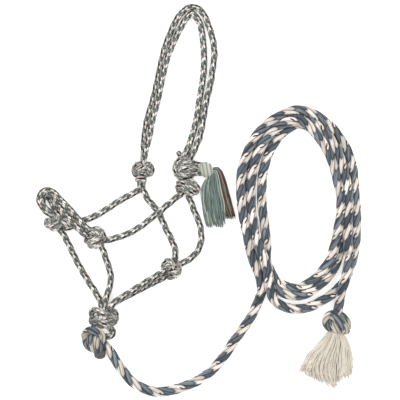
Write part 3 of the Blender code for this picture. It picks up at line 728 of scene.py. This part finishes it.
def yarn_material(name):
    """Loose yarn in the colour its tint says, with a fine twist whose grooves are painted a little darker as
    shade.
    """
    n = Nodes(name)
    tint = n.add("ShaderNodeAttribute", attribute_name="tint").outputs[0]
    u, v = n.uv()
    turns = n.math("MULTIPLY_ADD", v, 3.2, u)
    twist = n.math("SINE", n.math("MULTIPLY", turns, 2 * math.pi))
    shade = n.grey(n.math("MULTIPLY_ADD", twist, 0.07, 0.95))
    return n.fibrous(n.mix(1.0, tint, shade, "MULTIPLY"), twist, 0.4, 0.0002, roughness=0.85, sheen=0.2)


CREAM, PALE = linear(238, 232, 224), linear(210, 208, 201)
SAGE, DEEP = linear(155, 162, 157), linear(102, 107, 102)
HALTER_STITCHES = [CREAM, SAGE, DEEP, CREAM, DEEP, PALE]
KNOT_STITCHES = [CREAM, PALE, SAGE, CREAM, SAGE, CREAM]
LEAD_STITCHES = [linear(115, 124, 132), linear(250, 241, 231), linear(91, 100, 109), linear(240, 231, 221)]
# The lead's colours with duller, darker creams for its knots: painted shade of the knots' folds.
SHADED_KNOT_LEAD_STITCHES = [linear(110, 120, 126), linear(226, 219, 206), linear(94, 103, 108), linear(206, 200, 187)]
HALTER_YARN = braid_material(
    "sage_and_cream_braid", HALTER_BRAID, HALTER_YARNS, HALTER_STITCHES, oval_flecks, HALTER_BUMP
)
KNOT_YARN = braid_material(
    "tied_sage_and_cream_braid", HALTER_BRAID, HALTER_YARNS, KNOT_STITCHES, oval_flecks, HALTER_BUMP
)
LEAD_YARN = braid_material(
    "blue_and_cream_braid", LEAD_BRAID, LEAD_YARNS, LEAD_STITCHES, stroke_flecks, LEAD_BUMP
)
SHADED_KNOT_LEAD_YARN = braid_material(
    "shaded_blue_and_cream_knot_braid", LEAD_BRAID, LEAD_YARNS, SHADED_KNOT_LEAD_STITCHES, stroke_flecks, LEAD_BUMP
)
YARN = yarn_material("loose_yarn")

# ------------------------ camera

VIEW_MIDDLE = Vector((0.117, -0.053, 0.0))
VIEW_WIDTH = 0.72
camera_data = bpy.data.cameras.new("camera")
camera_data.sensor_width = 36.0
camera_data.lens = 100.0
camera = bpy.data.objects.new("camera", camera_data)
bpy.context.scene.collection.objects.link(camera)
camera.location = VIEW_MIDDLE + Vector((0, 0, VIEW_WIDTH * camera_data.lens / camera_data.sensor_width))
bpy.context.scene.camera = camera

# ------------------------ the lead rope


def coil_route():
    """The points of the coil's turns, from the distances and heights given for them."""
    wound, heights = zip(*COIL_HEIGHTS)
    route = []
    for index, reach in enumerate(sum(COIL_TURNS, [])):
        turned = COIL_START + COIL_STEP * index
        out = -reach * MM * Vector((math.sin(math.radians(turned)), math.cos(math.radians(turned)), 0))
        height = float(np.interp(turned, wound, heights)) * MM
        route.append(tuple(COIL_MIDDLE + out + Vector((0, 0, height))))
    return route


def lead_parts():
    """(line, shape) of the standing part, the coil and the tail, cut from one long braid."""
    coil = LEAD_ENTRY + coil_route()
    line = smooth(LEAD_STANDING + coil + LEAD_TAIL, LEAD_SPACING)
    far, normals, others = rings_along(line)
    cuts = [0]
    for place in (coil[0], LEAD_TAIL[0]):
        cuts.append(int(np.argmin(np.linalg.norm(line - np.array(place), axis=1))))
    cuts.append(len(line) - 1)
    parts = []
    for first, last in zip(cuts, cuts[1:]):
        span = slice(first, last + 1)
        rings = line[span], far[span], normals[span], others[span]
        parts.append((line[span], braid_over(*rings, LEAD_OUTSIDE, LEAD_LAY, LEAD_BRAID)))
    return parts


(standing_line, standing_shape), (coil_line, coil_shape), (tail_line, tail_shape) = lead_parts()
lead_standing = piece(
    "lead_standing_rope", standing_shape, LEAD_YARN, ["lead_standing_part"]
)
lead_coil = piece("lead_coiled_rope", coil_shape, LEAD_YARN, ["lead_coil"], "lead")
lead_tail = piece("lead_tail_rope", tail_shape, LEAD_YARN, ["lead_tail"])
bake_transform(lead_standing)
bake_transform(lead_tail)


def knot_piece(name, passes, diameter, lay, weave, finish, nodes, body, core=None):
    """A knot's passes of rope. A core of (start, end, diameter) in millimetres can fill its middle."""
    shapes = []
    for index, route in enumerate(metres(passes)):
        shift = 0.37 * index
        shapes.append(braid(route, diameter, lay, KNOT_SPACING, weave, shift=shift, ends=TUCKED_ENDS))
    if core:
        route = metres([core[:2]])[0]
        shapes.append(braid(route, core[2] * MM, lay, KNOT_SPACING, weave, ends=CORE_ENDS))
    return piece(name, joined(shapes), finish, nodes, body)


lead_knot = knot_piece(
    "lead_knot_wraps", LEAD_KNOT, KNOT_LEAD, LEAD_LAY, LEAD_BRAID, SHADED_KNOT_LEAD_YARN,
    ["lead_knot"], "halter", ((-76, -292, 15), (-68, -314, 15), 26),
)
stopper_knot = knot_piece(
    "lead_stopper_wraps", STOPPER_KNOT, KNOT_LEAD, LEAD_LAY, LEAD_BRAID, SHADED_KNOT_LEAD_YARN,
    ["lead_stopper_knot"], "lead_end", ((354, -274, 12), (368, -277, 12), 23),
)


def sealed_end():
    """The lead's melted cut end: a short, dark stretch that narrows to a rough face."""
    n = Nodes("sealed_end")
    spot = n.add("ShaderNodeTexNoise", {"Scale": 420.0, "Detail": 3.0}).outputs[0]
    ramp = n.add("ShaderNodeValToRGB", {0: spot})
    ramp.color_ramp.elements[0].color = linear(60, 60, 58)
    ramp.color_ramp.elements[1].color = linear(128, 126, 120)
    ramp.color_ramp.elements[0].position = 0.38
    ramp.color_ramp.elements[1].position = 0.66
    n.put(ramp.outputs[0], n.shader.inputs["Base Color"])
    bump = n.add("ShaderNodeBump", {"Height": spot, "Strength": 0.8, "Distance": 0.0008})
    n.put(bump.outputs[0], n.shader.inputs["Normal"])
    n.put(0.7, n.shader.inputs["Roughness"])
    route = [(-0.0620, -0.3220, 0.0180), (-0.0618, -0.3285, 0.0165), (-0.0616, -0.3345, 0.0150)]
    shape = braid(route, SEALED_END, LEAD_LAY, SEALED_SPACING, LEAD_BRAID, ends=SEALED_ENDS)
    return piece("lead_sealed_end", shape, n.material, ["lead_cut_end"], "halter")


lead_sealed_end = sealed_end()

# ------------------------ tassels and whipping

rng = np.random.default_rng(7)
TASSEL_YARNS = 300
LEAD_TASSEL_YARN, TIE_TASSEL_YARN, WHIPPING_THREAD = 0.0021, 0.0019, 0.0029  # thicknesses

# The whipping is a barrel of slanted turns round both tails, along x.
WHIPPING_TURNS = 11
WHIPPING_START, WHIPPING_PITCH = 0.1165, 0.0022
WHIPPING_Y, WHIPPING_Z = 0.0015, 0.0092
WHIPPING_SLANT = 0.0024
WHIPPING_WIDTH, WHIPPING_HEIGHT = 0.0125, 0.0072  # half sizes of a turn


def tint_of(base, spread):
    """A linear colour a little lighter or darker than an sRGB one."""
    return np.array(linear(*base)[:3]) * (1 + spread * rng.uniform(-1, 1))


def yarn_piece(name, paths, colours, thickness, slot, nodes, body, sides=5, rings=12):
    """A bundle of loose yarns, each in its own colour."""
    shape, counts = threads(paths, thickness, sides, rings)
    tints = np.vstack([np.tile(colour, (count, 1)) for colour, count in zip(colours, counts)])
    return piece(name, shape, YARN, nodes, body, tints)


# Outline of the lead's tassel: y, left x, right x, height of the bundle.
LEAD_FAN = [
    (-0.285, 0.350, 0.368, 0.014), (-0.298, 0.342, 0.378, 0.017), (-0.313, 0.328, 0.385, 0.017),
    (-0.331, 0.312, 0.389, 0.015), (-0.350, 0.301, 0.392, 0.012), (-0.368, 0.303, 0.391, 0.009),
    (-0.386, 0.326, 0.384, 0.007),
]


def wobble(row, phase, size):
    """A yarn's sideways wander at one row of its path."""
    return size * (math.sin(1.1 * row + phase) + 0.6 * math.sin(2.6 * row + 2.3 * phase))


def lead_tassel_paths(count):
    """Cream yarns fan out from the stopper knot, with a few brown ones among them."""
    paths, colours = [], []
    for index in range(count):
        share = (index + rng.uniform(0, 1)) / count
        level = rng.uniform(0.02, 0.98)
        middle = 1 - abs(2 * share - 1)
        reach = 4.45 + 1.6 * middle**0.7 + rng.uniform(-0.65, 0.40)
        phase = rng.uniform(0, 2 * math.pi)
        route = []
        for row, (y, left, right, high) in enumerate(LEAD_FAN):
            if row > reach:
                break
            crown = math.sqrt(max(0.05, 1 - (2 * share - 1) ** 2))
            x = left + (right - left) * share + wobble(row, phase, 0.0012)
            route.append((x, y + rng.uniform(-0.0012, 0.0012), 0.0016 + (high * crown - 0.002) * level))
        extra = reach - len(route) + 1
        last, before = np.array(route[-1]), np.array(route[-2])
        tip = last + (last - before) * extra * 0.8 + (rng.uniform(-0.002, 0.002), 0, 0)
        route.append(tuple(np.maximum(tip, (-1, -1, 0.0015))))
        paths.append((route, rng.uniform(0.75, 1.1)))
        base = (236, 228, 214) if rng.uniform() > 0.14 else (208, 194, 174)
        if 0.55 < share < 0.68 and rng.uniform() < 0.10:
            base = (112, 84, 70)
        colours.append(tint_of(base, 0.07))
    return paths, colours


def tie_tassel_paths(count):
    """Sage yarns turn down from the whipping's end, and a brown group arches over on the outer side."""
    paths, colours = [], []
    for index in range(count):
        share = (index + rng.uniform(0, 1)) / count
        level = rng.uniform(0.03, 0.97)
        brown = share > 0.74
        phase = rng.uniform(0, 2 * math.pi)
        drift = rng.uniform(-0.07, 0.07)
        high = 0.013 * math.sqrt(max(0.10, 1 - (1.9 * share - 0.95) ** 2))
        lift = 0.0014 + high * level
        longer = share < 0.62
        end = -0.0960 + rng.uniform(-0.007, 0.008) if longer else -0.0830 + rng.uniform(-0.005, 0.006)
        # Left x, spread in x and y of the row, and how much of the lift is left there.
        rows = [
            (0.1370, 0.0040, -0.0085 + 0.0140 * share, 0.8), (0.1310, 0.0215, -0.0140 + 0.0180 * share, 1.0),
            (0.1245, 0.0355, -0.0210 + 0.0080 * share, 1.0), (0.1215, 0.0450, -0.0360 + 0.0020 * share, 1.0),
            (0.1225, 0.0500, -0.0580, 0.85), (0.1265, 0.0495, 0.35 * -0.0580 + 0.65 * end, 0.65),
            (0.1300, 0.0470 if longer else 0.0475, end, 0.4),
        ]
        route = []
        for row, (left, spread, y, part) in enumerate(rows):
            across = share + drift * row / 6
            x = left + spread * across + (wobble(row, phase, 0.0011) if row > 1 else 0)
            route.append((x, y, 0.0012 + lift * part))
        paths.append((route, rng.uniform(0.7, 1.15)))
        pick = rng.uniform()
        if brown:
            base = (98, 66, 52) if pick < 0.55 else (64, 46, 40) if pick < 0.75 else (142, 146, 136)
        else:
            base = (118, 136, 130) if pick < 0.45 else (156, 172, 166) if pick < 0.76 else (88, 102, 97)
            if pick > 0.92:
                base = (206, 202, 188)
        colours.append(tint_of(base, 0.12))
    return paths, colours


def whipping_paths():
    """Turns of thread laid close round both tails, of which every third is a darker one."""
    paths, colours = [], []
    for index in range(WHIPPING_TURNS):
        x = WHIPPING_START + WHIPPING_PITCH * index
        barrel = math.sin(math.pi * (index + 0.5) / WHIPPING_TURNS)
        swell = 0.68 + 0.38 * barrel + rng.uniform(-0.03, 0.03)
        route = []
        for angle in np.linspace(0, 2 * math.pi, CURVE_STEPS + 1):
            y = WHIPPING_Y + WHIPPING_WIDTH * swell * math.cos(angle)
            z = WHIPPING_Z + WHIPPING_HEIGHT * swell * math.sin(angle)
            route.append((x - WHIPPING_SLANT * math.cos(angle), y, z))
        paths.append((route, rng.uniform(0.95, 1.15)))
        colours.append(tint_of((198, 198, 188) if index % 3 else (140, 156, 150), 0.16))
    return paths, colours


lead_tassel = yarn_piece(
    "lead_tassel_yarns", *lead_tassel_paths(TASSEL_YARNS), LEAD_TASSEL_YARN, "cream_threads",
    ["lead_tassel"], "lead_end",
)
yarn_piece(
    "tie_tassel_yarns", *tie_tassel_paths(TASSEL_YARNS), TIE_TASSEL_YARN, "sage_threads",
    ["tie_tassel"], "tie_tail",
)
yarn_piece(
    "tie_whipping_turns", *whipping_paths(), WHIPPING_THREAD, "cream_threads",
    ["tie_tail_whipping"], "tie_tail", sides=8, rings=28,
)

# ------------------------ the halter


def stretch(name, route, node, body="halter", shift=0.0):
    """The halter rope along a route, which stands for one node."""
    shape = braid(route, ROPE_OUTSIDE, ROPE_LAY, ROPE_SPACING, HALTER_BRAID, shift=shift)
    return piece(name, shape, HALTER_YARN, [node], body)


FIXED_STRETCHES = [
    ("off_side_cheek_braid", OFF_SIDE_CHEEK, "off_side_cheek_rope"),
    ("near_side_cheek_braid", NEAR_SIDE_CHEEK, "near_side_cheek_rope"),
    ("off_side_throat_braid", OFF_SIDE_THROAT, "off_side_throat_rope"),
    ("near_side_throat_braid", NEAR_SIDE_THROAT, "near_side_throat_rope"),
    ("off_side_chin_braid", OFF_SIDE_CHIN, "off_side_chin_rope"),
    ("near_side_chin_braid", NEAR_SIDE_CHIN, "near_side_chin_rope"),
    ("jaw_lower_braid", JAW_LOWER, "jaw_rope_lower"),
    ("jaw_upper_braid", JAW_UPPER, "jaw_rope_upper"),
    ("chin_loop_braid", CHIN_LOOP, "chin_loop"),
]
for index, (name, route, node) in enumerate(FIXED_STRETCHES):
    stretch(name, route, node, shift=0.21 * index)

HINGED_STRETCHES = [
    ("crown_outer_braid", CROWN_OUTER, "crown_outer_strand", "crown", 0.0),
    ("crown_inner_braid", CROWN_INNER, "crown_inner_strand", "crown", 0.27),
    ("noseband_upper_braid", NOSEBAND_UPPER, "noseband_upper_rope", "noseband", 0.0),
    ("noseband_middle_braid", NOSEBAND_MIDDLE, "noseband_middle_rope", "noseband", 0.2),
    ("noseband_lower_braid", NOSEBAND_LOWER, "noseband_lower_rope", "noseband", 0.45),
]
for name, route, node, body, shift in HINGED_STRETCHES:
    strand = stretch(name, route, node, body=None, shift=shift)
    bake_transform(strand)

# The start of the piece's and the node's name, the passes, and the core's ends and diameter in millimetres.
HALTER_KNOTS = [
    ("off_side_cheek", OFF_SIDE_CHEEK_KNOT, ((5, 2, 13), (25, 2, 13), 20)),
    ("near_side_cheek", NEAR_SIDE_CHEEK_KNOT, ((83, -29, 12), (105, -32, 12), 21)),
    ("tie", TIE_KNOT, ((87, -6, 14), (93, 16, 14), 26)),
    ("throat", THROAT_KNOT, ((59, -183, 13), (70, -168, 13), 24)),
    ("off_side_nose", OFF_SIDE_NOSE_KNOT, ((-151.5, -94, 11), (-139.5, -98, 11), 18)),
    ("near_side_nose", NEAR_SIDE_NOSE_KNOT, ((-82, -119, 13), (-62, -122, 13), 22)),
    ("chin", CHIN_KNOT, ((-72, -262, 15), (-40, -261, 15), 29)),
]
for name, passes, core in HALTER_KNOTS:
    knot_piece(
        f"{name}_wraps", passes, KNOT_ROPE, ROPE_LAY, HALTER_BRAID, KNOT_YARN,
        [f"{name}_knot"], "halter", core,
    )

knot_piece(
    "tie_ear", [TIE_SLIP_LOOP], SLIP_LOOP_ROPE, ROPE_LAY, HALTER_BRAID, HALTER_YARN,
    ["tie_slip_loop"], "halter",
)
tails = [
    braid(route, ROPE_OUTSIDE, ROPE_LAY, ROPE_SPACING, HALTER_BRAID, shift=0.3 * index)
    for index, route in enumerate(metres(TIE_TAILS))
]
tie_tails = piece(
    "tie_tails_braid", joined(tails), HALTER_YARN, ["tie_tail_upper", "tie_tail_lower"]
)
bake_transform(tie_tails)

# ------------------------ floor and light


FLOOR_REACH = 6.0
FLOOR_LEVEL = -0.0008  # just under the lowest yarns
WORLD_STRENGTH = 0.72
# Name, place, size and power of each soft light.
LIGHTS = [
    ("key_light", (-0.7, 0.9, 1.6), 1.0, 16.0),
    ("fill_light", (1.2, -0.6, 1.7), 1.4, 8.0),
]


def pale_floor():
    """A large pale square under the object."""
    corners = [(x * FLOOR_REACH, y * FLOOR_REACH, 0) for x, y in ((-1, -1), (1, -1), (1, 1), (-1, 1))]
    mesh = bpy.data.meshes.new("floor")
    mesh.from_pydata(corners, [], [(0, 1, 2, 3)])
    floor = bpy.data.objects.new("floor", mesh)
    bpy.context.scene.collection.objects.link(floor)
    floor.location.z = FLOOR_LEVEL
    n = Nodes("pale_floor")
    n.put((0.75, 0.75, 0.75, 1), n.shader.inputs["Base Color"])
    n.put((1, 1, 1, 1), n.shader.inputs["Emission Color"])
    n.put(0.60, n.shader.inputs["Emission Strength"])
    n.put(0.9, n.shader.inputs["Roughness"])
    n.put(0.1, n.shader.inputs["Specular IOR Level"])
    mesh.materials.append(n.material)


def soft_light():
    """Even light from all round, and two large lamps that look at the middle of the object."""
    world = bpy.data.worlds.new("studio")
    world.use_nodes = True
    background = world.node_tree.nodes["Background"]
    background.inputs[0].default_value = (1, 1, 1, 1)
    background.inputs[1].default_value = WORLD_STRENGTH
    bpy.context.scene.world = world
    for name, place, size, power in LIGHTS:
        light = bpy.data.lights.new(name, "AREA")
        light.size = size
        light.energy = power
        lamp = bpy.data.objects.new(name, light)
        bpy.context.scene.collection.objects.link(lamp)
        lamp.location = place
        aim = VIEW_MIDDLE - lamp.location
        lamp.rotation_euler = aim.to_track_quat("-Z", "Y").to_euler()


pale_floor()
soft_light()
bpy.context.scene.view_settings.view_transform = "Standard"

# ------------------------ painted crevice shade, and the end

paint_crevice_shade()
